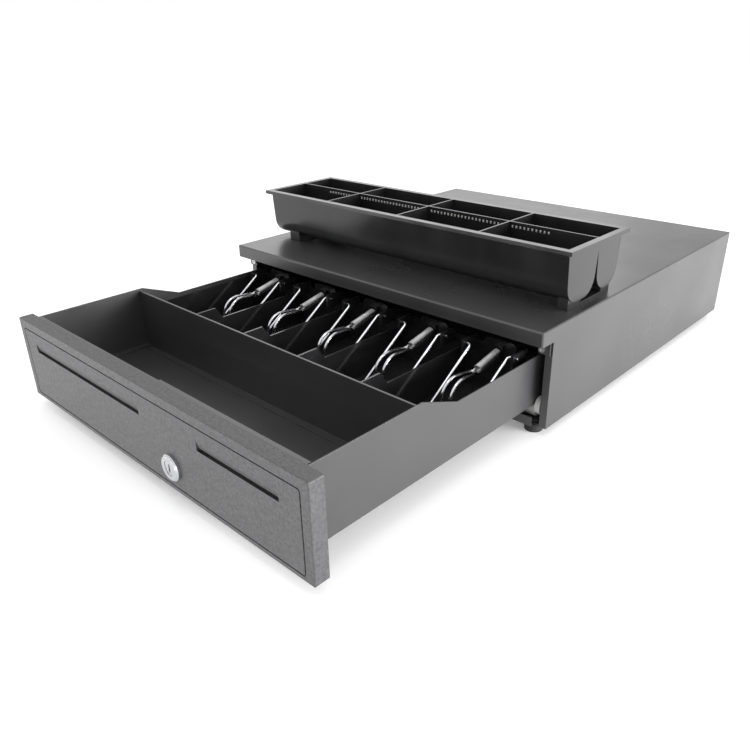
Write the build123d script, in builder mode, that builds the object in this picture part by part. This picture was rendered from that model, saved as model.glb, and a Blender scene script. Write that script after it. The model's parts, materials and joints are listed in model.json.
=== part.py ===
from build123d import *
import math
import os

# Cash drawer: a folded steel housing on rubber feet, a steel drawer on rollers that stands open,
# a bill insert with five sprung wire clips, and a coin tray lifted out onto the housing's top.
# Millimetres, +Z up, front towards -Y. z = 0 is the table, x = 0 the middle of the width.

# ---- Driving sizes ---------------------------------------------------------------------------
WIDTH = 410            # housing and front panel
DEPTH = 415            # housing, lip to rear edge
SHELL_HEIGHT = 98      # folded steel shell, without the feet
FOOT_HEIGHT = 8
TRAVEL = 258           # how far the drawer stands open
LOCK_PROUD = 4         # lock rim in front of the panel
SHEET = 1.2            # housing steel
TRAY_SHEET = 1.0       # drawer steel
LIP_HEIGHT = 13.5      # cover lip that hangs over the front
LIP_OVERHANG = 18      # lip front to the side sheets' front edges
PANEL_THICK = 13
PANEL_LOW = 3          # panel's lower edge above the shell's underside
PANEL_HIGH = 84
FLOOR = 20             # drawer floor's underside above the shell's underside
WALL_OUT = 191         # drawer side walls, outer face
DRAWER_BACK = 375      # drawer's rear face, from the panel's front
DIVIDER_Y = 118        # coin compartment's rear divider
WIRE_R = 1.4           # bill clip wire
ROLLER_R = 8
PIN_R = 2.5
RUN_GAP = 0.05         # radial clearance of a running fit

# ---- Reference planes ------------------------------------------------------------------------
BASE = FOOT_HEIGHT                              # shell's underside
TOP = BASE + SHELL_HEIGHT                       # deck
HALF = WIDTH / 2
INSIDE = HALF - SHEET                           # inner face of the side sheets
HOUSING = (LOCK_PROUD + TRAVEL - DEPTH) / 2     # y of the cover's lip
DRAWER = HOUSING - TRAVEL                       # y of the open drawer's front face
FLOOR_TOP = BASE + FLOOR + TRAY_SHEET
TURN = {"x": (0, 90, 0), "y": (90, 0, 0), "z": (0, 0, 0)}

# ---- Bill cells and lock ---------------------------------------------------------------------
CELL_PITCH = 76.6
CELLS = [n * CELL_PITCH for n in range(-2, 3)]
PIVOT_Y = DRAWER + 258
PIVOT_Z = BASE + 68
LOCK_X = 46
LOCK_Z = BASE + 26

os.makedirs("parts", exist_ok=True)


def block(x, y, z, mode=Mode.ADD):
    """A box between two values on each axis."""
    with Locations(((x[0] + x[1]) / 2, (y[0] + y[1]) / 2, (z[0] + z[1]) / 2)):
        Box(abs(x[1] - x[0]), abs(y[1] - y[0]), abs(z[1] - z[0]), mode=mode)


def rod(axis, span, at, radius, mode=Mode.ADD):
    """A cylinder along an axis, from span[0] to span[1]; at gives its two other coordinates."""
    middle = (span[0] + span[1]) / 2
    place = {"x": (middle, *at), "y": (at[0], middle, at[1]), "z": (*at, middle)}[axis]
    with Locations(place):
        Cylinder(radius, abs(span[1] - span[0]), rotation=TURN[axis], mode=mode)


def save(builder, name):
    """Label the piece and write it as its own STEP file."""
    builder.part.label = name
    export_step(builder.part, f"parts/{name}.step")


# ==== Housing =================================================================================
REAR_PANEL_Y = HOUSING + DEPTH - 4
RETURN_X = 198         # inner edge of the side sheets' front return flanges
CORNER_TAB_Y = HOUSING + PANEL_THICK + 2.2   # the screw heads clear the shut panel
FRAME_SCREW = (196, BASE + 76.5)
REAR_SCREWS = [(side * 197, BASE + z) for side in (-1, 1) for z in (24, 80)]

with BuildPart() as housing_cover:
    block((-HALF, HALF), (HOUSING, HOUSING + DEPTH), (TOP - SHEET, TOP))
    block((-HALF, HALF), (HOUSING, HOUSING + SHEET), (TOP - LIP_HEIGHT, TOP))
    for side in (-1, 1):
        sheet = (side * INSIDE, side * HALF)
        block(sheet, (HOUSING, HOUSING + LIP_OVERHANG), (TOP - LIP_HEIGHT, TOP))
        block(sheet, (HOUSING + LIP_OVERHANG, HOUSING + DEPTH), (BASE, TOP))
        flange = (side * RETURN_X, side * INSIDE)
        flange_y = HOUSING + LIP_OVERHANG
        block(flange, (flange_y, flange_y + SHEET), (BASE, TOP - LIP_HEIGHT))
        rear_tab = (side * 189, side * INSIDE)
        block(rear_tab, (REAR_PANEL_Y - SHEET, REAR_PANEL_Y), (BASE + 16, TOP - SHEET))
        tab = (side * 192.5, side * INSIDE)
        tab_y = (CORNER_TAB_Y, CORNER_TAB_Y + SHEET)
        block(tab, tab_y, (BASE + 72, TOP))
        rod("y", (tab_y[0] - 1, tab_y[1] + 1), (side * FRAME_SCREW[0], FRAME_SCREW[1]), 2, Mode.SUBTRACT)
    for x, z in REAR_SCREWS:
        rod("y", (REAR_PANEL_Y - 3, REAR_PANEL_Y + 1), (x, z), 2, Mode.SUBTRACT)
    deck_edges = housing_cover.faces().sort_by(Axis.Z)[-1].edges()
    fillet(deck_edges.filter_by(Axis.Y), 1.6)
    front_edge = housing_cover.edges().filter_by(Axis.X).group_by(Axis.Z)[-1].sort_by(Axis.Y)[0]
    fillet(front_edge, 1.6)
save(housing_cover, "housing_cover")

PAN_FRONT = HOUSING + 14
PAN_SIDE_HEIGHT = 12
FOOT_SPOTS = [(side * 189, y) for side in (-1, 1) for y in (HOUSING + 25, HOUSING + DEPTH - 30)]
FIXING_SPACING = 300
FIXING_R = 2.75
FOOT_STUD_R = 3.5

with BuildPart() as base_pan:
    inner_front = HOUSING + LIP_OVERHANG + SHEET + 0.3
    block((-192.5, 192.5), (PAN_FRONT, inner_front), (BASE, BASE + SHEET))
    block((-192.5, 192.5), (PAN_FRONT, PAN_FRONT + SHEET), (BASE, BASE + 9))
    block((-INSIDE, INSIDE), (inner_front, REAR_PANEL_Y), (BASE, BASE + SHEET))
    for side in (-1, 1):
        flange = (side * (INSIDE - SHEET), side * INSIDE)
        block(flange, (inner_front, REAR_PANEL_Y), (BASE, BASE + PAN_SIDE_HEIGHT))
    block((-186, 186), (REAR_PANEL_Y - SHEET, REAR_PANEL_Y), (BASE, BASE + 14))
    for rib_y in (HOUSING + 130, HOUSING + 215, HOUSING + 300):
        block((-120, 120), (rib_y - 4, rib_y + 4), (BASE + SHEET, BASE + 3.2))
    with Locations(*[(x, y, BASE) for x, y in FOOT_SPOTS]):
        Hole(FOOT_STUD_R + 0.1, 20)
    with Locations((0, HOUSING + DEPTH / 2 + 7.5, BASE)):
        with GridLocations(FIXING_SPACING, FIXING_SPACING, 2, 2):
            Hole(FIXING_R, 20)
save(base_pan, "base_pan")

with BuildPart() as lock_catch:
    block((LOCK_X - 10, LOCK_X + 10), (HOUSING + 17, HOUSING + 18.5), (BASE + SHEET, BASE + 12))
    block((LOCK_X - 10, LOCK_X + 10), (HOUSING + 18.5, HOUSING + 34), (BASE + SHEET, BASE + 2.7))
save(lock_catch, "lock_catch")

SOCKET_X = -60
SOCKET_Z = BASE + 30

with BuildPart() as back_panel:
    block((-INSIDE, INSIDE), (REAR_PANEL_Y, REAR_PANEL_Y + SHEET), (BASE, TOP - SHEET))
    for x, z in REAR_SCREWS:
        rod("y", (REAR_PANEL_Y - 1, REAR_PANEL_Y + 3), (x, z), 2.1, Mode.SUBTRACT)
    cutout_x = (SOCKET_X - 7, SOCKET_X + 7)
    block(cutout_x, (REAR_PANEL_Y - 1, REAR_PANEL_Y + 3), (SOCKET_Z - 6, SOCKET_Z + 6), Mode.SUBTRACT)
save(back_panel, "back_panel")

with BuildPart() as rear_screws:
    for x, z in REAR_SCREWS:
        rod("y", (REAR_PANEL_Y - 5, REAR_PANEL_Y + SHEET), (x, z), 1.9)
        rod("y", (REAR_PANEL_Y + SHEET, REAR_PANEL_Y + SHEET + 2), (x, z), 3.8)
        groove_y = (REAR_PANEL_Y + SHEET + 1, REAR_PANEL_Y + SHEET + 3)
        block((x - 3, x + 3), groove_y, (z - 0.5, z + 0.5), Mode.SUBTRACT)
        block((x - 0.5, x + 0.5), groove_y, (z - 3, z + 3), Mode.SUBTRACT)
save(rear_screws, "rear_screws")

with BuildPart() as frame_screws:
    for side in (-1, 1):
        spot = (side * FRAME_SCREW[0], FRAME_SCREW[1])
        rod("y", (CORNER_TAB_Y - 1.8, CORNER_TAB_Y), spot, 2.8)
        rod("y", (CORNER_TAB_Y, CORNER_TAB_Y + 6), spot, 1.9)
        groove = (CORNER_TAB_Y - 3, CORNER_TAB_Y - 1)
        block((spot[0] - 2, spot[0] + 2), groove, (spot[1] - 0.4, spot[1] + 0.4), Mode.SUBTRACT)
        block((spot[0] - 0.4, spot[0] + 0.4), groove, (spot[1] - 2, spot[1] + 2), Mode.SUBTRACT)
save(frame_screws, "frame_screws")

with BuildPart() as top_stiffener:
    rail_y = HOUSING + 22
    for y in (rail_y, rail_y + 22):
        block((-188, 188), (y, y + SHEET), (TOP - 9, TOP - SHEET))
    block((-188, 188), (rail_y, rail_y + 22 + SHEET), (TOP - 9, TOP - 9 + SHEET))
save(top_stiffener, "top_stiffener")

with BuildPart() as rubber_feet:
    for spot in FOOT_SPOTS:
        rod("z", (0, FOOT_HEIGHT), spot, 8.5)
        rod("z", (FOOT_HEIGHT, BASE + SHEET + 0.2), spot, FOOT_STUD_R)
        rod("z", (BASE + SHEET + 0.2, BASE + SHEET + 2.4), spot, FOOT_STUD_R + 1)
    fillet(rubber_feet.edges().filter_by(GeomType.CIRCLE).group_by(Axis.Z)[0], 1.2)
save(rubber_feet, "rubber_feet")

CHANNEL_LOW = BASE + 25.5
CHANNEL_HIGH = CHANNEL_LOW + 2 * ROLLER_R + 0.6 + 2 * SHEET
CHANNEL_Y = (HOUSING + 60, HOUSING + 400)


def side_channel(side):
    """A C-shaped track on the side sheet that the drawer's rear roller runs in."""
    with BuildPart() as channel:
        block((side * (INSIDE - SHEET), side * INSIDE), CHANNEL_Y, (CHANNEL_LOW, CHANNEL_HIGH))
        for z in (CHANNEL_LOW, CHANNEL_HIGH - SHEET):
            block((side * 193, side * INSIDE), CHANNEL_Y, (z, z + SHEET))
    return channel


save(side_channel(-1), "side_channel_left")
save(side_channel(1), "side_channel_right")

GUIDE_AT = (HOUSING + 26, BASE + 18)

with BuildPart() as side_guides:
    for side in (-1, 1):
        rod("x", (side * 192, side * 197), GUIDE_AT, 8.5)
        rod("x", (side * 197, side * INSIDE), GUIDE_AT, 3.5)
        rod("x", (side * 192, side * 193), GUIDE_AT, 4, Mode.SUBTRACT)
save(side_guides, "side_guides")

FRONT_ROLLER_AT = (HOUSING + 30, BASE + FLOOR - 0.3 - ROLLER_R)
FRONT_ROLLER_X = (180, 190)

with BuildPart() as roller_brackets:
    for side in (-1, 1):
        upright_y = (FRONT_ROLLER_AT[0] - 9, FRONT_ROLLER_AT[0] + 9)
        block((side * 178, side * 179.2), upright_y, (BASE + SHEET, BASE + 18))
        block((side * 165, side * 178), upright_y, (BASE + SHEET, BASE + 2 * SHEET))
        rod("x", (side * 177, side * 180), FRONT_ROLLER_AT, PIN_R, Mode.SUBTRACT)
save(roller_brackets, "roller_brackets")

with BuildPart() as front_axles:
    for side in (-1, 1):
        rod("x", (side * 178, side * 191.6), FRONT_ROLLER_AT, PIN_R)
        rod("x", (side * 176.6, side * 178), FRONT_ROLLER_AT, 4)
        rod("x", (side * 190.5, side * 191.6), FRONT_ROLLER_AT, 4)
save(front_axles, "front_axles")


def roller(span, at):
    """A nylon wheel with a hub recess on its outer face and a bore that runs on its axle."""
    with BuildPart() as wheel:
        rod("x", span, at, ROLLER_R)
        rod("x", span, at, PIN_R + RUN_GAP, Mode.SUBTRACT)
        rim_edges = wheel.edges().filter_by(GeomType.CIRCLE).filter_by(lambda e: e.radius > 5)
        fillet(rim_edges, 0.8)
        outer = max(span, key=abs)
        inward = outer - math.copysign(1.2, outer)
        rod("x", (inward, outer), at, 6, Mode.SUBTRACT)
        rod("x", (inward, outer), at, 4)
        rod("x", span, at, PIN_R + RUN_GAP, Mode.SUBTRACT)
    return wheel


for side, word in ((-1, "left"), (1, "right")):
    save(roller([side * x for x in FRONT_ROLLER_X], FRONT_ROLLER_AT), f"front_roller_{word}")

# ---- Rear mechanism: ejector, latch, solenoid, switch, socket ---------------------------------
EJECTOR_AT = (110, BASE + 45)

with BuildPart() as ejector_guide:
    rod("y", (REAR_PANEL_Y - 26, REAR_PANEL_Y), EJECTOR_AT, 4)
    rod("y", (REAR_PANEL_Y - 2, REAR_PANEL_Y), EJECTOR_AT, 10)
save(ejector_guide, "ejector_guide")

with BuildPart() as ejector_spring:
    rod("y", (REAR_PANEL_Y - 44, REAR_PANEL_Y - 2), EJECTOR_AT, 7)
    rod("y", (REAR_PANEL_Y - 44, REAR_PANEL_Y - 2), EJECTOR_AT, 5, Mode.SUBTRACT)
save(ejector_spring, "ejector_spring")

LATCH_PIVOT = (12, HOUSING + 403)
RELEASED = 20                      # degrees that the lever stands back while the drawer is open
DRIVE_ARM = 12                     # lever pivot to plunger pin
PULLED_IN = DRIVE_ARM * math.radians(RELEASED)
SHELF = (BASE + 36, BASE + 37.5)
LEVER_Z = (BASE + 38, BASE + 41)
PLUNGER_AT = (LATCH_PIVOT[1] - DRIVE_ARM, BASE + 47)
SOLENOID_X = (24, 50)

with BuildPart() as latch_bracket:
    block((9, 54), (HOUSING + 384, REAR_PANEL_Y - SHEET), SHELF)
    block((5, 9), (HOUSING + 396, REAR_PANEL_Y - SHEET), SHELF)
    block((52.5, 54), (HOUSING + 384, REAR_PANEL_Y - SHEET), (BASE + SHEET, SHELF[0]))
    block((54, 66), (HOUSING + 384, REAR_PANEL_Y - SHEET), (BASE + SHEET, BASE + 2.7))
    rod("z", (SHELF[0] - 1, SHELF[1] + 1), LATCH_PIVOT, PIN_R, Mode.SUBTRACT)
save(latch_bracket, "latch_bracket")

with BuildPart() as latch_pin:
    rod("z", (SHELF[0], LEVER_Z[1] + 0.4), LATCH_PIVOT, PIN_R)
    rod("z", (LEVER_Z[1] + 0.4, LEVER_Z[1] + 1.8), LATCH_PIVOT, 4.2)
    rod("z", (SHELF[0] - 1.2, SHELF[0]), LATCH_PIVOT, 4.2)
save(latch_pin, "latch_pin")

lever_axes = Vector(1, 0, 0).rotate(Axis.Z, RELEASED)
lever_plane = Plane(origin=(*LATCH_PIVOT, LEVER_Z[0]), x_dir=lever_axes, z_dir=(0, 0, 1))

with BuildPart() as latch_lever:
    with BuildSketch(lever_plane):
        with BuildLine():
            Polyline((-3, 4), (-3, -17.8), (-11, -17.8), (-9, -22.2), (3, -22.2), (3, 4), close=True)
        make_face()
        Circle(5)
    extrude(amount=LEVER_Z[1] - LEVER_Z[0])
    with BuildSketch(lever_plane):
        Circle(PIN_R + RUN_GAP)
        with Locations((0, -DRIVE_ARM)):
            SlotOverall(4.4, 2.8, rotation=90)
    extrude(amount=LEVER_Z[1] - LEVER_Z[0], mode=Mode.SUBTRACT)
save(latch_lever, "latch_lever")

with BuildPart() as solenoid_frame:
    frame_y = (PLUNGER_AT[0] - 8, PLUNGER_AT[0] + 8)
    block(SOLENOID_X, frame_y, (SHELF[1], SHELF[1] + 1.5))
    for x in (SOLENOID_X[0], SOLENOID_X[1] - 1.5):
        block((x, x + 1.5), frame_y, (SHELF[1], PLUNGER_AT[1] + 8))
    rod("x", (SOLENOID_X[0] - 1, SOLENOID_X[1] + 1), PLUNGER_AT, 4.3, Mode.SUBTRACT)
save(solenoid_frame, "solenoid_frame")

with BuildPart() as solenoid_coil:
    coil_x = (SOLENOID_X[0] + 1.5, SOLENOID_X[1] - 1.5)
    rod("x", coil_x, PLUNGER_AT, 7)
    rod("x", (coil_x[0], coil_x[0] + 1.5), PLUNGER_AT, 7.9)
    rod("x", (coil_x[1] - 1.5, coil_x[1]), PLUNGER_AT, 7.9)
    rod("x", (coil_x[0] - 1, coil_x[1] + 1), PLUNGER_AT, 4.4, Mode.SUBTRACT)
save(solenoid_coil, "solenoid_coil")

with BuildPart() as solenoid_plunger:
    tip = 8 + PULLED_IN
    rod("x", (tip, 44 + PULLED_IN), PLUNGER_AT, 4)
    rod("x", (tip + 7, tip + 8.5), PLUNGER_AT, 5.8)
    pin_spot = (LATCH_PIVOT[0] + PULLED_IN, PLUNGER_AT[0])
    rod("z", (LEVER_Z[0] + 0.5, PLUNGER_AT[1] - 2), pin_spot, 1)
save(solenoid_plunger, "solenoid_plunger")

with BuildPart() as latch_spring:
    coil_span = (SOLENOID_X[0] - 3.2, SOLENOID_X[0] - 0.1)
    rod("x", coil_span, PLUNGER_AT, 5.6)
    rod("x", coil_span, PLUNGER_AT, 4.6, Mode.SUBTRACT)
save(latch_spring, "latch_spring")

SWITCH_PIVOT = (-38, HOUSING + 393.2)

with BuildPart() as switch_bracket:
    block((-42, -18), (HOUSING + 404, HOUSING + 405.2), (BASE + SHEET, BASE + 44))
    block((-42, -18), (HOUSING + 405.2, REAR_PANEL_Y - SHEET), (BASE + SHEET, BASE + 2 * SHEET))
save(switch_bracket, "switch_bracket")

with BuildPart() as switch_body:
    block((-40, -20), (HOUSING + 394.5, HOUSING + 404), (BASE + 34, BASE + 40.5))
    for z in (BASE + 34, BASE + 39.7):
        block((-39.5, -36.5), (HOUSING + 392, HOUSING + 394.5), (z, z + 0.8))
    rod("z", (BASE + 33, BASE + 41), SWITCH_PIVOT, 0.75, Mode.SUBTRACT)
save(switch_body, "switch_body")

with BuildPart() as switch_lever:
    rod("z", (BASE + 34.1, BASE + 40.4), SWITCH_PIVOT, 0.7)
    blade_y = (SWITCH_PIVOT[1] - 0.3, SWITCH_PIVOT[1] + 0.3)
    block((SWITCH_PIVOT[0], SWITCH_PIVOT[0] + 26), blade_y, (BASE + 35.2, BASE + 39.3))
save(switch_lever, "switch_lever")

with BuildPart() as cable_socket:
    socket_x = (SOCKET_X - 6.8, SOCKET_X + 6.8)
    block(socket_x, (REAR_PANEL_Y - 14, REAR_PANEL_Y + 1.8), (SOCKET_Z - 5.8, SOCKET_Z + 5.8))
    mouth_y = (REAR_PANEL_Y - 9, REAR_PANEL_Y + 3)
    block((SOCKET_X - 5, SOCKET_X + 5), mouth_y, (SOCKET_Z - 3.5, SOCKET_Z + 3.5), Mode.SUBTRACT)
    block((SOCKET_X - 2, SOCKET_X + 2), mouth_y, (SOCKET_Z - 5, SOCKET_Z), Mode.SUBTRACT)
save(cable_socket, "cable_socket")

with BuildPart() as circuit_board:
    block((SOCKET_X - 17, SOCKET_X + 17), (REAR_PANEL_Y - 15.6, REAR_PANEL_Y - 14), (BASE + 14, BASE + 50))
    for side in (-1, 1):
        rod("y", (REAR_PANEL_Y - 14, REAR_PANEL_Y), (SOCKET_X + side * 13, BASE + 46), 2.5)
save(circuit_board, "circuit_board")

# ==== Drawer ==================================================================================
WALL_IN = WALL_OUT - TRAY_SHEET
WALL_LOW = BASE + 68                 # side walls behind the ramp
WALL_HIGH = BASE + PANEL_HIGH
RAMP = (DRAWER + 122, DRAWER + 164)  # where the wall's top edge slopes down
PANEL_SCREWS = [(x, BASE + 70) for x in (-165, -60, 60, 165)]
REAR_ROLLER_AT = (DRAWER + 362, BASE + 35)
BARREL_R = 9.7
SLOTS = [(-176, 5), (84, 175)]        # document slots, across the width
SLOT_LOW = BASE + 56
SLOT_HIGH = SLOT_LOW + 8.5
SLIT_LOW = SLOT_LOW - 2.5            # the slit behind a slot's sloping face
SLIT_HIGH = SLOT_LOW + 1.2
FLOOR_CUT = ((LOCK_X - 12, LOCK_X + 26), (DRAWER + PANEL_THICK + TRAY_SHEET, DRAWER + 30))

with BuildPart() as drawer_body:
    front_y = DRAWER + PANEL_THICK
    back_y = DRAWER + DRAWER_BACK
    block((-WALL_OUT, WALL_OUT), (front_y, back_y), (BASE + FLOOR, FLOOR_TOP))
    block((-WALL_OUT, WALL_OUT), (front_y, front_y + TRAY_SHEET), (FLOOR_TOP, WALL_HIGH))
    block((-WALL_OUT, WALL_OUT), (back_y - TRAY_SHEET, back_y), (FLOOR_TOP, WALL_LOW))
    for side in (-1, 1):
        with BuildSketch(Plane.YZ.offset(side * WALL_IN)):
            with BuildLine():
                Polyline(
                    (front_y, FLOOR_TOP), (back_y, FLOOR_TOP), (back_y, WALL_LOW),
                    (RAMP[1], WALL_LOW), (RAMP[0], WALL_HIGH), (front_y, WALL_HIGH), close=True,
                )
            make_face()
        extrude(amount=side * TRAY_SHEET)
        ledge = (side * (WALL_IN - 7), side * WALL_IN)
        block(ledge, (front_y + 6, DRAWER + DIVIDER_Y), (FLOOR_TOP, FLOOR_TOP + 2.2))
        rod("x", (side * 189, side * 192), REAR_ROLLER_AT, PIN_R, Mode.SUBTRACT)
    for low, high, depth in ((-189, 16, 2.4), (16, 189, 4)):
        block((low, high), (front_y, front_y + depth), (WALL_HIGH - TRAY_SHEET, WALL_HIGH))
    for low, high in SLOTS:
        block((low, high), (front_y - 1, front_y + TRAY_SHEET + 1), (SLIT_LOW, SLIT_HIGH), Mode.SUBTRACT)
    block(*FLOOR_CUT, (BASE + FLOOR - 1, FLOOR_TOP + 1), Mode.SUBTRACT)
    rod("y", (front_y - 1, front_y + 2), (LOCK_X, LOCK_Z), BARREL_R + 0.1, Mode.SUBTRACT)
    for x, z in PANEL_SCREWS:
        rod("y", (front_y - 1, front_y + 2), (x, z), 1.8, Mode.SUBTRACT)
save(drawer_body, "drawer_body")

PANEL_Z = (BASE + PANEL_LOW, BASE + PANEL_HIGH)
PANEL_WALL = 3
GROOVE_DEEP = 0.9

with BuildPart() as front_panel:
    block((-HALF, HALF), (DRAWER, DRAWER + PANEL_THICK), PANEL_Z)
    fillet(front_panel.edges().filter_by(Axis.Y), 1.5)
    fillet(front_panel.faces().sort_by(Axis.Y)[0].edges(), 1.0)
    # shallow line that frames the face
    middle_z = (PANEL_Z[0] + 4 + PANEL_Z[1] - 8) / 2
    frame_height = PANEL_Z[1] - 8 - PANEL_Z[0] - 4
    with BuildSketch(Plane.XZ.offset(-DRAWER)):
        with Locations((0, middle_z)):
            RectangleRounded(WIDTH - 16, frame_height, 3)
            RectangleRounded(WIDTH - 18.4, frame_height - 2.4, 1.8, mode=Mode.SUBTRACT)
    extrude(amount=-GROOVE_DEEP, mode=Mode.SUBTRACT)
    # hollow back with ribs and screw bosses
    hollow_y = (DRAWER + PANEL_WALL + 4.5, DRAWER + PANEL_THICK)
    hollow_z = (PANEL_Z[0] + PANEL_WALL, PANEL_Z[1] - PANEL_WALL)
    rib_x = [-HALF, -185, -112, -35, 20, 72, 135, 187, HALF]
    for low, high in zip(rib_x[:-1], rib_x[1:]):
        block((low + 2.5, high - 2.5), hollow_y, (hollow_z[0], SLIT_LOW - 2), Mode.SUBTRACT)
    # document slots: the face slopes in from above to a slit that falls away behind the lower edge
    slit_end = DRAWER + PANEL_THICK + 1
    for low, high in SLOTS:
        with BuildSketch(Plane.YZ.offset(low)):
            with BuildLine():
                Polyline(
                    (DRAWER - 1, SLOT_LOW), (DRAWER, SLOT_LOW), (DRAWER + 4, SLIT_LOW),
                    (slit_end, SLIT_LOW), (slit_end, SLIT_HIGH), (DRAWER + 2, SLIT_HIGH),
                    (DRAWER, SLOT_HIGH), (DRAWER - 1, SLOT_HIGH), close=True,
                )
            make_face()
        extrude(amount=high - low, mode=Mode.SUBTRACT)
    lock_bore = BARREL_R + 0.1
    rod("y", (DRAWER - 1, DRAWER + PANEL_THICK + 1), (LOCK_X, LOCK_Z), lock_bore, Mode.SUBTRACT)
    for x, z in PANEL_SCREWS:
        rod("y", (DRAWER + 5, DRAWER + PANEL_THICK + 1), (x, z), 1.6, Mode.SUBTRACT)
save(front_panel, "front_panel")

with BuildPart() as panel_screws:
    inner_y = DRAWER + PANEL_THICK + TRAY_SHEET
    for x, z in PANEL_SCREWS:
        rod("y", (inner_y - 8, inner_y), (x, z), 1.5)
        rod("y", (inner_y, inner_y + 1.8), (x, z), 3.2)
save(panel_screws, "panel_screws")

with BuildPart() as divider_plate:
    divider_y = DRAWER + DIVIDER_Y
    block((-WALL_IN, WALL_IN), (divider_y, divider_y + 2), (FLOOR_TOP, BASE + 81.5))
    block((-WALL_IN + 8, WALL_IN - 8), (divider_y - 7, divider_y), (FLOOR_TOP, FLOOR_TOP + TRAY_SHEET))
save(divider_plate, "divider_plate")

PLUG_R = 6.4

with BuildPart() as lock_body:
    rod("y", (DRAWER - LOCK_PROUD, DRAWER), (LOCK_X, LOCK_Z), 11.3)
    rod("y", (DRAWER, DRAWER + 20.5), (LOCK_X, LOCK_Z), BARREL_R)
    rim = lock_body.faces().sort_by(Axis.Y)[0].edges()
    chamfer(rim, 1.4)
    rod("y", (DRAWER - LOCK_PROUD - 1, DRAWER + 21), (LOCK_X, LOCK_Z), PLUG_R + RUN_GAP, Mode.SUBTRACT)
save(lock_body, "lock_body")

with BuildPart() as lock_nut:
    with BuildSketch(Plane.XZ.offset(-(DRAWER + PANEL_THICK + TRAY_SHEET))):
        with Locations((LOCK_X, LOCK_Z)):
            RegularPolygon(12.5, 6, major_radius=False)
            Circle(BARREL_R + 0.05, mode=Mode.SUBTRACT)
    extrude(amount=-4)
save(lock_nut, "lock_nut")

with BuildPart() as lock_plug:
    rod("y", (DRAWER - LOCK_PROUD + 0.6, DRAWER + 21), (LOCK_X, LOCK_Z), PLUG_R)
    key_y = (DRAWER - LOCK_PROUD, DRAWER + 10)
    block((LOCK_X - 0.8, LOCK_X + 0.8), key_y, (LOCK_Z - 3.6, LOCK_Z + 3.6), Mode.SUBTRACT)
save(lock_plug, "lock_plug")

with BuildPart() as lock_cam:
    cam_y = (DRAWER + 21, DRAWER + 23)
    rod("y", cam_y, (LOCK_X, LOCK_Z), 6)
    block((LOCK_X, LOCK_X + 19), cam_y, (LOCK_Z - 4, LOCK_Z + 4))
    rod("y", (DRAWER + 23, DRAWER + 25.5), (LOCK_X, LOCK_Z), 3.4)
save(lock_cam, "lock_cam")

with BuildPart() as lock_cover:
    cover_x = (LOCK_X - 17, LOCK_X + 28)
    cover_y = (DRAWER + PANEL_THICK + TRAY_SHEET, DRAWER + 32)
    block(cover_x, cover_y, (FLOOR_TOP, LOCK_Z + 15))
    inner_x = (cover_x[0] + 1, cover_x[1] - 1)
    block(inner_x, (cover_y[0], cover_y[1] - 1), (FLOOR_TOP, LOCK_Z + 14), Mode.SUBTRACT)
save(lock_cover, "lock_cover")

with BuildPart() as rear_axles:
    for side in (-1, 1):
        rod("x", (side * WALL_IN, side * 200), REAR_ROLLER_AT, PIN_R)
        rod("x", (side * (WALL_IN - 1.6), side * WALL_IN), REAR_ROLLER_AT, 4.5)
        rod("x", (side * WALL_OUT, side * 193), REAR_ROLLER_AT, 4)
        rod("x", (side * 200, side * 201.2), REAR_ROLLER_AT, 4)
save(rear_axles, "rear_axles")

for side, word in ((-1, "left"), (1, "right")):
    save(roller((side * 193.4, side * 199.6), REAR_ROLLER_AT), f"rear_roller_{word}")

STRIKER_X = 3
STRIKER_EARS = (BASE + 33, BASE + 42.6)
EAR_THICK = 1.4

with BuildPart() as striker_bracket:
    plate_y = DRAWER + DRAWER_BACK
    block((-22, 8), (plate_y, plate_y + SHEET), (BASE + 30, BASE + 47))
    for z in STRIKER_EARS:
        block((STRIKER_X - 5, STRIKER_X + 4), (plate_y, plate_y + 16), (z, z + EAR_THICK))
    block((-20, -13), (plate_y, plate_y + 17), (BASE + 36.2, BASE + 38.4))
    rod("z", (BASE + 30, BASE + 47), (STRIKER_X, plate_y + 12.5), 2.5, Mode.SUBTRACT)
save(striker_bracket, "striker_bracket")

with BuildPart() as striker_pin:
    rod("z", (STRIKER_EARS[0], STRIKER_EARS[1] + EAR_THICK), (STRIKER_X, DRAWER + DRAWER_BACK + 12.5), 2.5)
save(striker_pin, "striker_pin")

# ---- Bill insert -----------------------------------------------------------------------------
INSERT_X = WALL_IN - 0.5
INSERT_Y = (DRAWER + DIVIDER_Y + 2.5, DRAWER + 277)
INSERT_WALL = 2
PARTITIONS = [(n - 2.5) * CELL_PITCH for n in range(1, 5)]
PARTITION_HIGH = BASE + 70
PARTITION_LOW = BASE + 58
STEP_Y = (DRAWER + 158, DRAWER + 166)
HUMP_HALF = 17
LUG_X = (25, 27.5)

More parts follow.
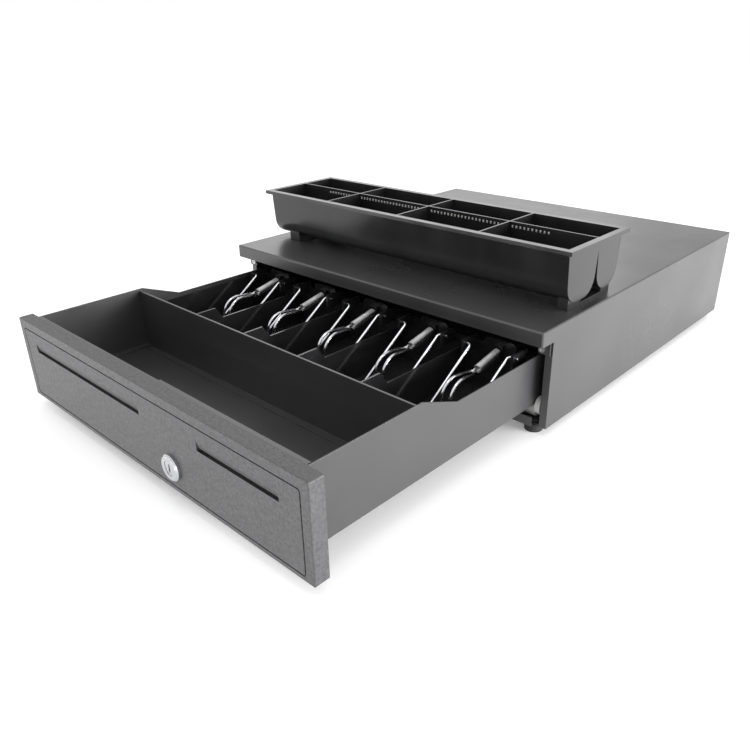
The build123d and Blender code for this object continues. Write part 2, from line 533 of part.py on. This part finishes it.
with BuildPart() as bill_insert:
    block((-INSERT_X, INSERT_X), INSERT_Y, (FLOOR_TOP, FLOOR_TOP + INSERT_WALL))
    front_wall = (INSERT_Y[0], INSERT_Y[0] + INSERT_WALL)
    block((-INSERT_X, INSERT_X), front_wall, (FLOOR_TOP, PARTITION_HIGH))
    back_wall = (INSERT_Y[1] - INSERT_WALL, INSERT_Y[1])
    block((-INSERT_X, INSERT_X), back_wall, (FLOOR_TOP, BASE + 65.5))
    for side in (-1, 1):
        block((side * (INSERT_X - INSERT_WALL), side * INSERT_X), INSERT_Y, (FLOOR_TOP, BASE + 64))
    for x in PARTITIONS:
        with BuildSketch(Plane.YZ.offset(x - INSERT_WALL / 2)):
            with BuildLine():
                Polyline(
                    (INSERT_Y[0], FLOOR_TOP), (INSERT_Y[1], FLOOR_TOP), (INSERT_Y[1], PARTITION_LOW),
                    (STEP_Y[1], PARTITION_LOW), (STEP_Y[0], PARTITION_HIGH),
                    (INSERT_Y[0], PARTITION_HIGH), close=True,
                )
            make_face()
        extrude(amount=INSERT_WALL)
    for x in CELLS:
        with BuildSketch(Plane.XZ.offset(-back_wall[0])):
            with Locations((x, BASE + 62)):
                RectangleRounded(2 * HUMP_HALF, 20, 5)
        extrude(amount=-INSERT_WALL)
        for side in (-1, 1):
            lug = (x + side * LUG_X[0], x + side * LUG_X[1])
            block(lug, (PIVOT_Y - 4.5, INSERT_Y[1]), (BASE + 59, BASE + 72))
            rod("x", (lug[0] - side, lug[1] + side), (PIVOT_Y, PIVOT_Z), WIRE_R + 0.07, Mode.SUBTRACT)
save(bill_insert, "bill_insert")

HOOK = (DRAWER + 236.5, BASE + 55)
TOE = (DRAWER + 194, FLOOR_TOP + INSERT_WALL + WIRE_R + 0.4)


def bill_clip(centre):
    """One bent wire: two pivot stubs, two arms, a toe on the floor and a tongue back to the spring."""
    arm, tongue, eye, stub = 20, 4.6, 2.9, 29.6
    half = [
        (stub, PIVOT_Y, PIVOT_Z), (arm, PIVOT_Y, PIVOT_Z), (arm, TOE[0], TOE[1]),
        (tongue, TOE[0] - 3, TOE[1]), (tongue, TOE[0] + 8, BASE + 58.5), (eye, *HOOK),
    ]
    left = [(centre - x, y, z) for x, y, z in half]
    right = [(centre + x, y, z) for x, y, z in reversed(half)]
    bends = [3, 3.2, 3.2, 18, 2.6]
    with BuildPart() as clip:
        with BuildLine() as route:
            FilletPolyline(*left, *right, radius=bends + bends[::-1])
        with BuildSketch(Plane(origin=route.line @ 0, z_dir=route.line % 0)):
            Circle(WIRE_R)
        sweep()
    return clip


for number, centre in enumerate(CELLS, start=1):
    save(bill_clip(centre), f"bill_clip_{number}")

SPRING_FROM = (DRAWER + 241, BASE + 55.6)
SPRING_TO = (DRAWER + 270.5, BASE + 62)
SPRING_R = 4


def clip_spring(centre):
    """Outer size of the close-wound extension spring that pulls a clip down."""
    run = Vector(0, SPRING_TO[0] - SPRING_FROM[0], SPRING_TO[1] - SPRING_FROM[1])
    with BuildPart() as spring:
        with BuildSketch(Plane(origin=(centre, *SPRING_FROM), z_dir=run)):
            Circle(SPRING_R)
            Circle(SPRING_R - 1.2, mode=Mode.SUBTRACT)
        extrude(amount=run.length)
    return spring


for number, centre in enumerate(CELLS, start=1):
    save(clip_spring(centre), f"clip_spring_{number}")

with BuildPart() as spring_anchors:
    for x in CELLS:
        block((x - 4.5, x + 4.5), (DRAWER + 271.5, back_wall[0]), (BASE + 67, BASE + 68))
        block((x - 4.5, x + 4.5), (DRAWER + 271.5, DRAWER + 272.5), (BASE + 58.5, BASE + 68))
        rod("y", (DRAWER + 271, DRAWER + 273), (x, BASE + 62), 1.5, Mode.SUBTRACT)
save(spring_anchors, "spring_anchors")

# ==== Coin tray, standing on the deck ==========================================================
TRAY_FRONT = HOUSING + 43
TRAY_DEPTH = 105
TRAY_RIM = TOP + 57
TRAY_BOTTOM = TOP + 6
TRAY_HALF = 200
RIM_WIDTH = 5
SKIN = 1.8
LOBE_R = 18
MIDDLE_Y = TRAY_FRONT + 57.2         # middle of the long partition
FRONT_LOBE = (TRAY_FRONT + RIM_WIDTH, MIDDLE_Y + SKIN / 2)
REAR_LOBE = (MIDDLE_Y - SKIN / 2, TRAY_FRONT + TRAY_DEPTH - RIM_WIDTH)
COLUMN_EDGES = [-TRAY_HALF + RIM_WIDTH, -101, 0, 101, TRAY_HALF - RIM_WIDTH]
FEET_X = [(-176, -160), (184, 194)]
FOOT_Y = (TRAY_FRONT + 13, TRAY_FRONT + 88)


def trough_section(x, y, inset):
    """Section of a round-bottomed trough; inset draws its inner surface instead of its outer one."""
    lean = 4.2
    low = TRAY_BOTTOM + inset
    with BuildSketch(Plane.YZ.offset(x)) as section:
        with BuildLine():
            Polyline(
                (y[0] + inset, TRAY_RIM), (y[0] + inset + lean, low),
                (y[1] - inset - lean, low), (y[1] - inset, TRAY_RIM), close=True,
            )
        make_face()
        fillet(section.vertices().group_by(Axis.Y)[0], LOBE_R - inset)
    return section.sketch


with BuildPart() as coin_tray:
    rim_y = (TRAY_FRONT, TRAY_FRONT + TRAY_DEPTH)
    lip = 1.4
    block((-TRAY_HALF, TRAY_HALF), rim_y, (TRAY_RIM - 3.6, TRAY_RIM))
    under_rim = (TRAY_RIM - 3.6, TRAY_RIM - SKIN)
    block((-TRAY_HALF + lip, TRAY_HALF - lip), (rim_y[0] + lip, rim_y[1] - lip), under_rim, Mode.SUBTRACT)
    tray_length = COLUMN_EDGES[-1] - COLUMN_EDGES[0]
    for lobe in (FRONT_LOBE, REAR_LOBE):
        extrude(trough_section(COLUMN_EDGES[0], lobe, 0), amount=tray_length)
    for x in FEET_X:
        block(x, FOOT_Y, (TOP, TOP + 3))
        block(x, (FOOT_Y[0], FOOT_Y[0] + 22), (TOP, TOP + 13))
        block(x, (FOOT_Y[1] - 16, FOOT_Y[1]), (TOP, TOP + 9))
    for lobe in (FRONT_LOBE, REAR_LOBE):
        for low, high in zip(COLUMN_EDGES[:-1], COLUMN_EDGES[1:]):
            cell = [low + SKIN / 2, high - SKIN / 2]
            if low == COLUMN_EDGES[0]:
                cell[0] = low + SKIN
            if high == COLUMN_EDGES[-1]:
                cell[1] = high - SKIN
            extrude(trough_section(cell[0], lobe, SKIN), amount=cell[1] - cell[0], mode=Mode.SUBTRACT)
save(coin_tray, "coin_tray")
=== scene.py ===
import json
import math

import bpy
from mathutils import Euler, Matrix, Vector


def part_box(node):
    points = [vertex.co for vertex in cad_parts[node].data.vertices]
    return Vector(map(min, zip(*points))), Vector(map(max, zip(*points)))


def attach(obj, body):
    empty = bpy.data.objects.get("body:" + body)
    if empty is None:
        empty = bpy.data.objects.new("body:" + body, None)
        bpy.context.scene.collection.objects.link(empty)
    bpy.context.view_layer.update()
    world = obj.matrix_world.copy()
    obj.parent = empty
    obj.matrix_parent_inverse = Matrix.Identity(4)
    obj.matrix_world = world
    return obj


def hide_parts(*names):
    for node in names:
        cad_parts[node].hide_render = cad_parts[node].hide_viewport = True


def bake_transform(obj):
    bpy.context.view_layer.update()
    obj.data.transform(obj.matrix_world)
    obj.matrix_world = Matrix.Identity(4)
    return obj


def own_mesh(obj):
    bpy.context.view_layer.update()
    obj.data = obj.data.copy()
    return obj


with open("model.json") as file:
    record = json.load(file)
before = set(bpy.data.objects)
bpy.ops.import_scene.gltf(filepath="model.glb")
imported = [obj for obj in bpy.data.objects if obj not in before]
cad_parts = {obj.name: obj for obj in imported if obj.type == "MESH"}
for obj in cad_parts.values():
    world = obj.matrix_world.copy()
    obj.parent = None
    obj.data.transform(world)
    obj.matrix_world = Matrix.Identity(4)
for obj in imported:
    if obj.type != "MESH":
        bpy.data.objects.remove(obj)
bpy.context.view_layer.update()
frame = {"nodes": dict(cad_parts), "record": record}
MM = 0.001

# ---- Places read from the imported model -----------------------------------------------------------
cover_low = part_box("housing_cover")[0]
tray_low, tray_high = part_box("coin_tray")
LIP_FRONT = cover_low.y
PARTITION_FACE = (57.2 - 0.9) * MM          # long partition's front face, from the tray's front
TEETH_BELOW_RIM = 3.2 * MM
SPRING_RISE, SPRING_RUN = 6.4, 29.5         # slope of a clip spring


# ==== Camera, light and floor ======================================================================
def make_camera():
    """The studio view: from the right-hand front corner, about 26 degrees above the table."""
    azimuth, elevation, roll = math.radians(43.88), math.radians(25.99), math.radians(-1.1)
    back = Vector((
        math.sin(azimuth) * math.cos(elevation),
        -math.cos(azimuth) * math.cos(elevation),
        math.sin(elevation),
    ))
    turn = (-back).to_track_quat("-Z", "Y") @ Euler((0, 0, roll)).to_quaternion()
    right, up = turn @ Vector((1, 0, 0)), turn @ Vector((0, 1, 0))
    data = bpy.data.cameras.new("camera")
    data.sensor_width = 36
    data.lens = 34.29
    camera = bpy.data.objects.new("camera", data)
    bpy.context.scene.collection.objects.link(camera)
    camera.rotation_mode = "QUATERNION"
    camera.rotation_quaternion = turn
    lip_foot = Vector((0, LIP_FRONT, cover_low.z))
    camera.location = lip_foot + back * 0.7522 + right * 0.0097 - up * 0.005
    bpy.context.scene.camera = camera


def area_light(name, place, aim, size, power, colour=(1, 1, 1)):
    data = bpy.data.lights.new(name, "AREA")
    data.shape = "RECTANGLE"
    data.size, data.size_y = size
    data.energy = power
    data.color = colour
    light = bpy.data.objects.new(name, data)
    bpy.context.scene.collection.objects.link(light)
    light.location = place
    light.rotation_mode = "QUATERNION"
    light.rotation_quaternion = (Vector(aim) - Vector(place)).to_track_quat("-Z", "Y")
    return light


def make_studio():
    """A pale floor, a bright surround and soft boxes."""
    bpy.context.scene.view_settings.view_transform = "Standard"
    world = bpy.data.worlds.new("surround")
    world.use_nodes = True
    world.node_tree.nodes["Background"].inputs["Color"].default_value = (1, 1, 1, 1)
    world.node_tree.nodes["Background"].inputs["Strength"].default_value = 1.0
    bpy.context.scene.world = world
    area_light("rear_right_box", (2.0, 0.6, 0.3), (0.15, -0.05, 0.05), (1.2, 0.6), 66)
    area_light("front_strip", (-0.25, -1.15, 0.04), (-0.05, -0.33, 0.04), (1.5, 0.07), 6)
    area_light("overhead_box", (0, -0.3, 1.6), (0, -0.1, 0), (1.2, 0.3), 4)
    area_light("rear_left_box", (-1.0, 1.2, 0.9), (0, 0.1, 0.1), (1.4, 0.9), 4)
    mesh = bpy.data.meshes.new("floor")
    reach = 6
    corners = [(-reach, -reach, 0), (reach, -reach, 0), (reach, reach, 0), (-reach, reach, 0)]
    mesh.from_pydata(corners, [], [(0, 1, 2, 3)])
    floor = bpy.data.objects.new("floor", mesh)
    bpy.context.scene.collection.objects.link(floor)
    pale = bpy.data.materials.new("floor_white")
    pale.use_nodes = True
    shader = pale.node_tree.nodes["Principled BSDF"]
    shader.inputs["Base Color"].default_value = (0.92, 0.92, 0.92, 1)
    shader.inputs["Roughness"].default_value = 0.8
    shader.inputs["Emission Color"].default_value = (1, 1, 1, 1)
    shader.inputs["Emission Strength"].default_value = 0.2
    mesh.materials.append(pale)


# ==== Materials ====================================================================================
class Look:
    """A procedural material built step by step around one shader."""

    def __init__(self, name, roughness, metallic=0.0, specular=0.5, coat=0.0, coat_roughness=0.1):
        self.material = bpy.data.materials.new(name)
        self.material.use_nodes = True
        self.tree = self.material.node_tree
        self.shader = self.tree.nodes["Principled BSDF"]
        self.shader.inputs["Metallic"].default_value = metallic
        self.shader.inputs["Roughness"].default_value = roughness
        self.shader.inputs["Specular IOR Level"].default_value = specular
        self.shader.inputs["Coat Weight"].default_value = coat
        self.shader.inputs["Coat Roughness"].default_value = coat_roughness
        self.roughness = roughness
        self.normal = None
        self.place = self.tree.nodes.new("ShaderNodeTexCoord").outputs["Object"]

    def node(self, kind, **values):
        made = self.tree.nodes.new(kind)
        for key, value in values.items():
            if key in made.inputs:
                made.inputs[key].default_value = value
            else:
                setattr(made, key, value)
        return made

    def link(self, source, target):
        self.tree.links.new(source, target)

    def stretched(self, scale):
        """Object coordinates scaled per axis, for grain with a direction."""
        mapping = self.node("ShaderNodeMapping")
        mapping.inputs["Scale"].default_value = scale
        self.link(self.place, mapping.inputs["Vector"])
        return mapping.outputs["Vector"]

    def noise(self, scale, detail=3.0, stretch=None):
        made = self.node("ShaderNodeTexNoise", Scale=scale, Detail=detail)
        self.link(self.stretched(stretch) if stretch else self.place, made.inputs["Vector"])
        return made.outputs["Fac"]

    def range(self, value, low, high, source=(0.3, 0.7)):
        made = self.node("ShaderNodeMapRange")
        made.inputs["From Min"].default_value, made.inputs["From Max"].default_value = source
        made.inputs["To Min"].default_value, made.inputs["To Max"].default_value = low, high
        self.link(value, made.inputs["Value"])
        return made.outputs["Result"]

    def colours(self, value, low, high):
        """Base colour that runs between two colours with a texture value."""
        ramp = self.node("ShaderNodeValToRGB")
        ramp.color_ramp.elements[0].position = 0.32
        ramp.color_ramp.elements[1].position = 0.68
        ramp.color_ramp.elements[0].color = (*low, 1)
        ramp.color_ramp.elements[1].color = (*high, 1)
        self.link(value, ramp.inputs["Fac"])
        self.link(ramp.outputs["Color"], self.shader.inputs["Base Color"])

    def uneven_gloss(self, value, spread):
        low, high = self.roughness - spread, self.roughness + spread
        self.link(self.range(value, low, high), self.shader.inputs["Roughness"])

    def soften_edges(self, radius):
        """Rounds the shading over sharp edges, as paint and moulding do."""
        made = self.node("ShaderNodeBevel", Radius=radius)
        made.samples = 4
        self.normal = made.outputs["Normal"]
        self.link(self.normal, self.shader.inputs["Normal"])

    def bump(self, value, height, strength=1.0):
        made = self.node("ShaderNodeBump", Strength=strength, Distance=height)
        self.link(value, made.inputs["Height"])
        if self.normal:
            self.link(self.normal, made.inputs["Normal"])
        self.normal = made.outputs["Normal"]
        self.link(self.normal, self.shader.inputs["Normal"])


def powder_coat(name, low, high, roughness, specular):
    """Black powder coat: a fine orange peel, faint handling marks and softened folds."""
    look = Look(name, roughness, specular=specular)
    look.colours(look.noise(9, 4), low, high)
    look.uneven_gloss(look.noise(14, 5), 0.05)
    look.soften_edges(0.6 * MM)
    look.bump(look.noise(1500, 2), 0.03 * MM, 0.3)
    return look.material


def grained_panel(name):
    """Moulded leather grain: small rounded cells with fine creases between them."""
    look = Look(name, 0.5, specular=0.4)
    look.colours(look.noise(500, 3), (0.056, 0.056, 0.058), (0.094, 0.094, 0.097))
    look.uneven_gloss(look.noise(260, 3), 0.08)
    look.soften_edges(0.5 * MM)
    cells = look.node("ShaderNodeTexVoronoi", Scale=520.0)
    cells.feature = "SMOOTH_F1"
    cells.inputs["Smoothness"].default_value = 0.4
    look.link(look.stretched((1, 1, 1.35)), cells.inputs["Vector"])
    look.bump(cells.outputs["Distance"], 0.16 * MM, 0.6)
    look.bump(look.noise(1600, 3), 0.06 * MM, 0.5)
    return look.material


def moulded(name, low, high, roughness, specular=0.5, grain=0.02):
    """Injection-moulded plastic with faint flow marks."""
    look = Look(name, roughness, specular=specular)
    look.colours(look.noise(22, 3), low, high)
    look.uneven_gloss(look.noise(30, 4, stretch=(1, 1, 0.3)), roughness * 0.2)
    look.soften_edges(0.4 * MM)
    look.bump(look.noise(900, 2), grain * MM, 0.4)
    return look.material


def plated(name, low, high, roughness, drawn=None):
    """Plated metal; drawn gives the per-axis stretch of its fine drawing marks."""
    look = Look(name, roughness, metallic=1.0)
    look.colours(look.noise(60, 3), low, high)
    look.uneven_gloss(look.noise(180, 3), roughness * 0.35)
    look.soften_edges(0.25 * MM)
    look.bump(look.noise(500, 2, stretch=drawn), 0.02 * MM, 0.4)
    return look.material


def zinc_spangle(name):
    """Dull galvanised steel with small crystals."""
    look = Look(name, 0.45, metallic=1.0)
    crystals = look.node("ShaderNodeTexVoronoi", Scale=160.0)
    look.link(look.place, crystals.inputs["Vector"])
    look.colours(crystals.outputs["Distance"], (0.33, 0.34, 0.36), (0.52, 0.53, 0.55))
    look.uneven_gloss(look.noise(120, 3), 0.12)
    look.soften_edges(0.3 * MM)
    return look.material


def soft_rubber(name):
    look = Look(name, 0.78, specular=0.35)
    look.colours(look.noise(90, 4), (0.018, 0.018, 0.018), (0.04, 0.04, 0.04))
    look.bump(look.noise(1300, 3), 0.08 * MM, 0.6)
    return look.material


def wound_tape(name):
    """Yellow tape over the solenoid's winding, with the wire's ridges showing."""
    look = Look(name, 0.4)
    look.colours(look.noise(200, 2, stretch=(4, 1, 1)), (0.42, 0.3, 0.03), (0.6, 0.45, 0.08))
    ridges = look.node("ShaderNodeTexWave", Scale=350.0)
    look.link(look.place, ridges.inputs["Vector"])
    look.bump(ridges.outputs["Fac"], 0.1 * MM, 0.5)
    return look.material


def board_lacquer(name):
    """Green circuit board with darker copper areas under the lacquer."""
    look = Look(name, 0.3)
    tracks = look.node("ShaderNodeTexBrick", Scale=90.0)
    look.link(look.place, tracks.inputs["Vector"])
    look.colours(tracks.outputs["Fac"], (0.01, 0.11, 0.04), (0.03, 0.2, 0.08))
    look.bump(tracks.outputs["Fac"], 0.03 * MM, 0.5)
    return look.material


def make_materials():
    """One material for each of the record's slots."""
    return {
        "housing_paint": powder_coat(
            "housing_paint", (0.032, 0.032, 0.033), (0.044, 0.044, 0.046), 0.31, 0.75,
        ),
        "drawer_paint": powder_coat("drawer_paint", (0.024, 0.024, 0.025), (0.032, 0.032, 0.034), 0.36, 0.9),
        "panel_texture": grained_panel("panel_texture"),
        "insert_plastic": moulded("insert_plastic", (0.012, 0.012, 0.013), (0.02, 0.02, 0.021), 0.14),
        "tray_plastic": moulded("tray_plastic", (0.009, 0.009, 0.0095), (0.015, 0.015, 0.0155), 0.23, 0.6),
        "clip_chrome": plated("clip_chrome", (0.62, 0.62, 0.64), (0.74, 0.74, 0.76), 0.2),
        "lock_chrome": plated("lock_chrome", (0.5, 0.51, 0.53), (0.62, 0.62, 0.64), 0.2),
        "spring_steel": plated("spring_steel", (0.5, 0.5, 0.5), (0.68, 0.68, 0.68), 0.34),
        "bright_steel": plated("bright_steel", (0.6, 0.6, 0.61), (0.75, 0.75, 0.76), 0.25),
        "zinc_steel": zinc_spangle("zinc_steel"),
        "rubber": soft_rubber("rubber"),
        "nylon": moulded("nylon", (0.38, 0.38, 0.37), (0.48, 0.48, 0.465), 0.38, 0.5, 0.04),
        "coil_wrap": wound_tape("coil_wrap"),
        "switch_plastic": moulded("switch_plastic", (0.02, 0.02, 0.022), (0.035, 0.035, 0.037), 0.45),
        "circuit_board": board_lacquer("circuit_board"),
    }


def dress_cad_nodes(materials):
    for part in frame["record"]["subparts"]:
        node = frame["nodes"][part["node"]]
        node.data.materials.clear()
        node.data.materials.append(materials[part["material_slot"]])


# ==== Wound springs ================================================================================
def wire(name, points, radius, sides=3):
    """A mesh tube of round wire through the points."""
    curve = bpy.data.curves.new(name, "CURVE")
    curve.dimensions = "3D"
    curve.bevel_depth = radius
    curve.bevel_resolution = sides
    curve.use_fill_caps = True
    spline = curve.splines.new("POLY")
    spline.points.add(len(points) - 1)
    for target, point in zip(spline.points, points):
        target.co = (*point, 1)
    holder = bpy.data.objects.new(name + "_curve", curve)
    bpy.context.scene.collection.objects.link(holder)
    bpy.context.view_layer.update()
    mesh = bpy.data.meshes.new_from_object(holder)
    bpy.data.objects.remove(holder)
    mesh.name = name
    mesh.shade_smooth()
    piece = bpy.data.objects.new(name, mesh)
    bpy.context.scene.collection.objects.link(piece)
    return piece


def helix(start, end, radius, pitch, steps=16):
    """Points of a close helix from start to end, and the two directions square to its axis."""
    start, end = Vector(start), Vector(end)
    along = (end - start).normalized()
    side = along.orthogonal().normalized()
    if abs(along.x) < 0.9:
        side = Vector((1, 0, 0))
    other = along.cross(side).normalized()
    turns = (end - start).length / pitch
    count = max(2, round(turns * steps))
    points = []
    for n in range(count + 1):
        angle = 2 * math.pi * turns * n / count
        centre = start.lerp(end, n / count)
        points.append(centre + (side * math.cos(angle) + other * math.sin(angle)) * radius)
    return points, along, side, other


def hook(centre, outward, up, radius, steps=14):
    """An open loop of wire round the centre, at the end of a coil."""
    points = []
    for n in range(steps + 1):
        angle = math.radians(200 - 290 * n / steps)
        points.append(centre + (outward * math.cos(angle) + up * math.sin(angle)) * radius)
    return points


def make_clip_spring(number, materials):
    """Close-wound extension spring from the insert's anchor to the clip's tongue."""
    node = f"clip_spring_{number}"
    low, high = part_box(node)
    outer = (high.x - low.x) / 2
    slope = math.atan2(SPRING_RISE, SPRING_RUN)
    middle = (low.x + high.x) / 2
    front = Vector((middle, low.y + outer * math.sin(slope), low.z + outer * math.cos(slope)))
    rear = Vector((middle, high.y - outer * math.sin(slope), high.z - outer * math.cos(slope)))
    wire_radius = 0.7 * MM
    coil, along, side, other = helix(rear, front, outer - wire_radius, 2.05 * wire_radius)
    front_loop = hook(front + along * 3.4 * MM, along, other, 2.7 * MM)
    rear_loop = hook(rear - along * 2.2 * MM, -along, other, 2.2 * MM)
    piece = wire(node + "_wire", rear_loop[::-1] + coil + front_loop, wire_radius)
    piece.data.materials.append(materials["spring_steel"])
    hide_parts(node)
    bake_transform(piece)


def make_compression_spring(node, axis, radius, wire_radius, turns, materials):
    """An open-wound spring with the size of its CAD tube, along X or Y."""
    low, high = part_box(node)
    centre = (low + high) / 2
    start, end = centre.copy(), centre.copy()
    start[axis], end[axis] = low[axis] + wire_radius, high[axis] - wire_radius
    coil = helix(start, end, radius - wire_radius, (end - start).length / turns, 20)[0]
    piece = wire(node + "_wire", coil, wire_radius)
    piece.data.materials.append(materials["spring_steel"])
    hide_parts(node)
    return piece, end


def make_springs(materials):
    for number in range(1, 6):
        make_clip_spring(number, materials)
    ejector, rear = make_compression_spring("ejector_spring", 1, 7 * MM, 0.8 * MM, 9, materials)
    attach(ejector, "housing")
    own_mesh(ejector)
    latch = make_compression_spring("latch_spring", 0, 5.6 * MM, 0.4 * MM, 3, materials)[0]
    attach(latch, "housing")


# ==== Coin tray teeth ==============================================================================
def make_tray_teeth(materials):
    """Rows of small rounded teeth along the top of the long partition, facing the front cells."""
    pitch, width, proud, height = 4.4 * MM, 1.7 * MM, 1.1 * MM, 2.4 * MM
    face_y = tray_low.y + PARTITION_FACE
    top_z = tray_high.z - TEETH_BELOW_RIM
    runs = [(-148, -105), (-97, -5), (5, 97), (105, 148)]
    vertices, faces = [], []
    for low, high in runs:
        count = int((high - low) * MM / pitch)
        for n in range(count + 1):
            x = low * MM + n * pitch
            first = len(vertices)
            for depth, shrink in ((0.3 * MM, 1.0), (-0.6 * proud, 1.0), (-proud, 0.7)):
                half, tall = width / 2 * shrink, height / 2 * shrink
                for dx, dz in ((-half, -tall), (half, -tall), (half, tall), (-half, tall)):
                    vertices.append((x + dx, face_y + depth, top_z - height / 2 + dz))
            for ring in (0, 4):
                for k in range(4):
                    a, b = first + ring + k, first + ring + (k + 1) % 4
                    faces.append((a, b, b + 4, a + 4))
            faces.append((first + 8, first + 9, first + 10, first + 11))
            faces.append((first + 3, first + 2, first + 1, first))
    mesh = bpy.data.meshes.new("coin_tray_teeth")
    mesh.from_pydata(vertices, [], faces)
    mesh.update()
    # The teeth are dark tray plastic; the light nylon colour given to them is partly wear on their edges and
    # partly painted glints.
    mesh.materials.append(materials["nylon"])
    piece = bpy.data.objects.new("coin_tray_teeth", mesh)
    bpy.context.scene.collection.objects.link(piece)
    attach(piece, "coin_tray")


make_camera()
make_studio()
looks = make_materials()
dress_cad_nodes(looks)
make_springs(looks)
make_tray_teeth(looks)
